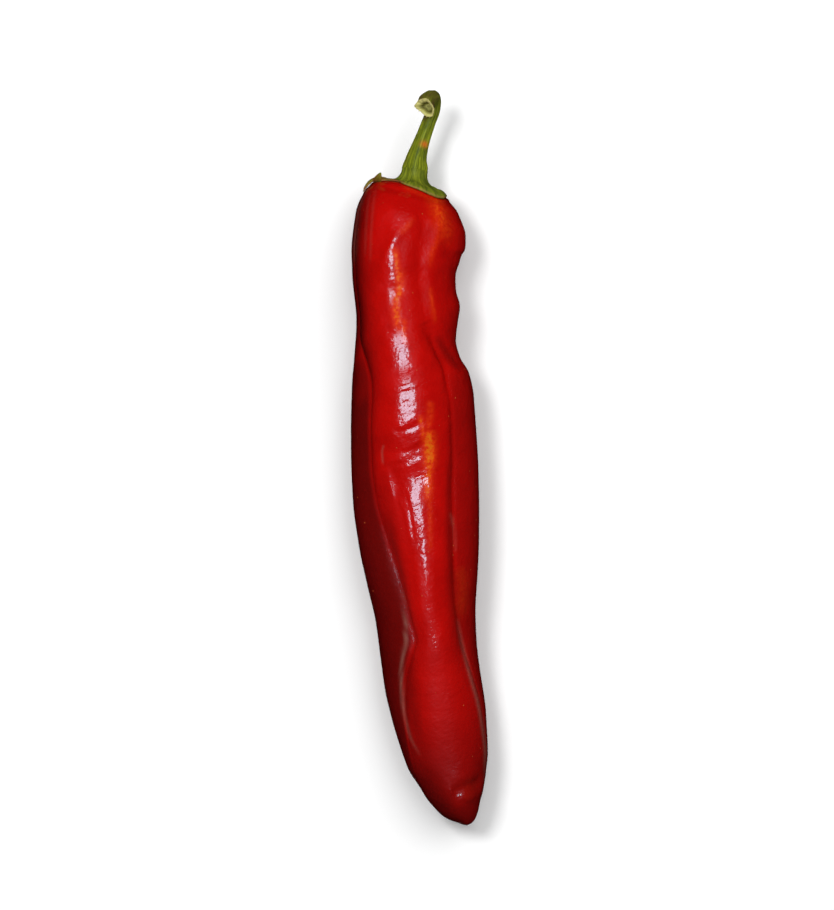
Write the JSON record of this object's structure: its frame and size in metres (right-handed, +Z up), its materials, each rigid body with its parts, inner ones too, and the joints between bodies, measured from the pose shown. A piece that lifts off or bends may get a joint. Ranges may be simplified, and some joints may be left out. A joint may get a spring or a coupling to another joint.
{
  "type": "chili pepper",
  "caption": "Long red chili pepper lying on its side: a three-lobed, wrinkled pod with a green calyx and a hooked stalk.",
  "frame": {"origin": "on the floor under the middle of the pepper's bounding box, with the pepper lying as it came to rest", "axes": "+Z up from the floor, +Y along the pod from its tip towards the stalk, +X to the right of someone who looks down on it with the stalk away from them"},
  "size_m": [0.0375, 0.1987, 0.0313],
  "materials": {
    "pod_skin": "glossy waxy red pepper skin with fine wrinkles",
    "calyx_green": "matt green sepals, ribbed and drying at the edges",
    "stalk_green": "satin green ribbed stalk, pale and dry at its cut end"
  },
  "bodies": {
    "root": {"pod": "pod_skin", "calyx": "calyx_green", "stalk": "stalk_green"}
  },
  "joints": []
}
